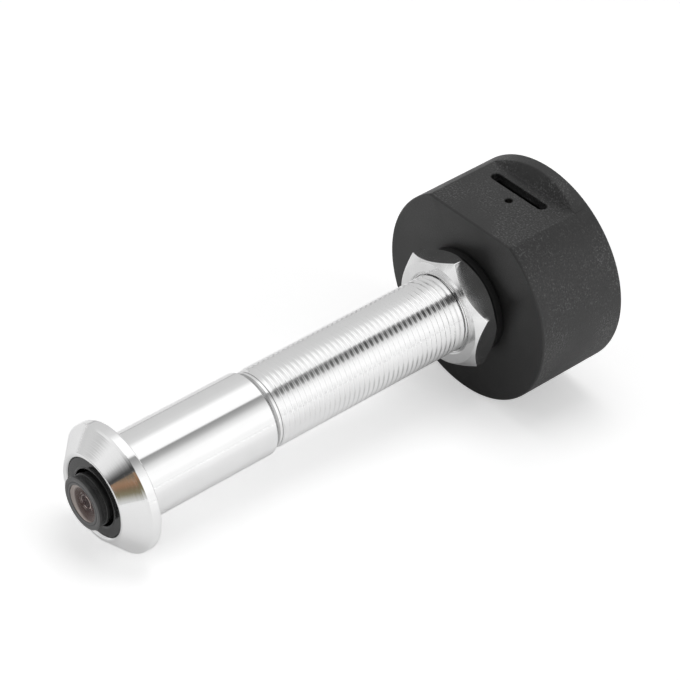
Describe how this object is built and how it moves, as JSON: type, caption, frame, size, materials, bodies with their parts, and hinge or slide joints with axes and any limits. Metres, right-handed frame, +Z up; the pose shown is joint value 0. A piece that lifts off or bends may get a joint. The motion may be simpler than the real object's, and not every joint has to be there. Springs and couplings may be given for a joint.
{
  "type": "peephole door camera",
  "caption": "Door viewer camera: flanged metal barrel with a wide lens, a clamping nut on its thread, and a round head with a card slot.",
  "frame": {"origin": "on the barrel's axis, in the rear face of the flange, which rests on the outside of the door", "axes": "+Y along the barrel into the room, so the lens looks along -Y; +Z up, towards the flat with the card slot; +X to the right seen from outside the door"},
  "size_m": [0.0362, 0.0939, 0.0362],
  "materials": {
    "barrel_metal": "polished turned metal",
    "nut_metal": "polished",
    "head_black": "fine sand texture, matte",
    "insert_black": "matte",
    "lens_black": "satin black",
    "coated_glass": "coated",
    "inner_glass": "clear",
    "washer_black": "matte",
    "seal_rubber": "matte",
    "brass": "machined",
    "tube_metal": "dark anodised",
    "screw_black": "black oxide",
    "screw_steel": "plain",
    "board_green": "solder mask",
    "board_blue": "solder mask",
    "chip_black": "moulded",
    "can_metal": "tinned",
    "flex_amber": "polyimide film",
    "ivory_plastic": "moulded",
    "ceramic_white": "fired"
  },
  "bodies": {
    "barrel": {"door_barrel": "barrel_metal", "bezel_insert": "insert_black"},
    "washer": {"nut_washer": "washer_black"},
    "nut": {"clamp_nut": "nut_metal"},
    "head": {"lens_seal": "seal_rubber", "head_shell": "head_black", "rear_cover": "head_black", "cover_screws": "screw_black", "barrel_socket": "brass", "lens_tube": "tube_metal", "tube_screws": "screw_steel", "lens_holder": "lens_black", "lens_barrel": "lens_black", "lens_retainer": "lens_black", "front_glass": "coated_glass", "lens_spacer": "lens_black", "middle_glass": "inner_glass", "aperture_stop": "lens_black", "rear_glass": "inner_glass", "rear_retainer": "lens_black", "infrared_filter": "inner_glass", "image_sensor": "chip_black", "sensor_board": "board_green", "flex_cable": "flex_amber", "flex_connector": "ivory_plastic", "main_board": "board_green", "board_screws": "screw_steel", "processor": "chip_black", "memory_chip": "chip_black", "radio_board": "board_blue", "radio_shield": "can_metal", "chip_antenna": "ceramic_white", "card_socket": "can_metal", "card_spring": "screw_steel", "reset_switch": "chip_black", "usb_socket": "can_metal", "usb_tongue": "chip_black"},
    "reset": {"reset_button": "ivory_plastic"},
    "slider": {"card_slider": "ivory_plastic"}
  },
  "joints": [
    {"name": "nut_travel", "type": "slide", "parent": "barrel", "child": "washer", "axis": [0, -1, 0], "range_m": [0, 0.038]},
    {"name": "nut_turn", "type": "hinge", "parent": "washer", "child": "nut", "pos_m": [0, 0.066, 0], "axis": [0, -1, 0], "range_deg": [0, 13680]},
    {"name": "head_withdraw", "type": "slide", "parent": "barrel", "child": "head", "axis": [0, 1, 0], "range_m": [0, 0.085]},
    {"name": "reset_press", "type": "slide", "parent": "head", "child": "reset", "axis": [0, 0, -1], "range_m": [0, 0.00025], "stiffness_N_per_m": 800, "springref_m": -0.001},
    {"name": "card_push", "type": "slide", "parent": "head", "child": "slider", "axis": [0, 0, -1], "range_m": [0, 0.0012], "stiffness_N_per_m": 200, "springref_m": -0.002, "deforming": ["card_spring"]}
  ],
  "couplings": [
    {"joint": "nut_turn", "follows": "nut_travel", "rad_per_m": 6283.2}
  ]
}
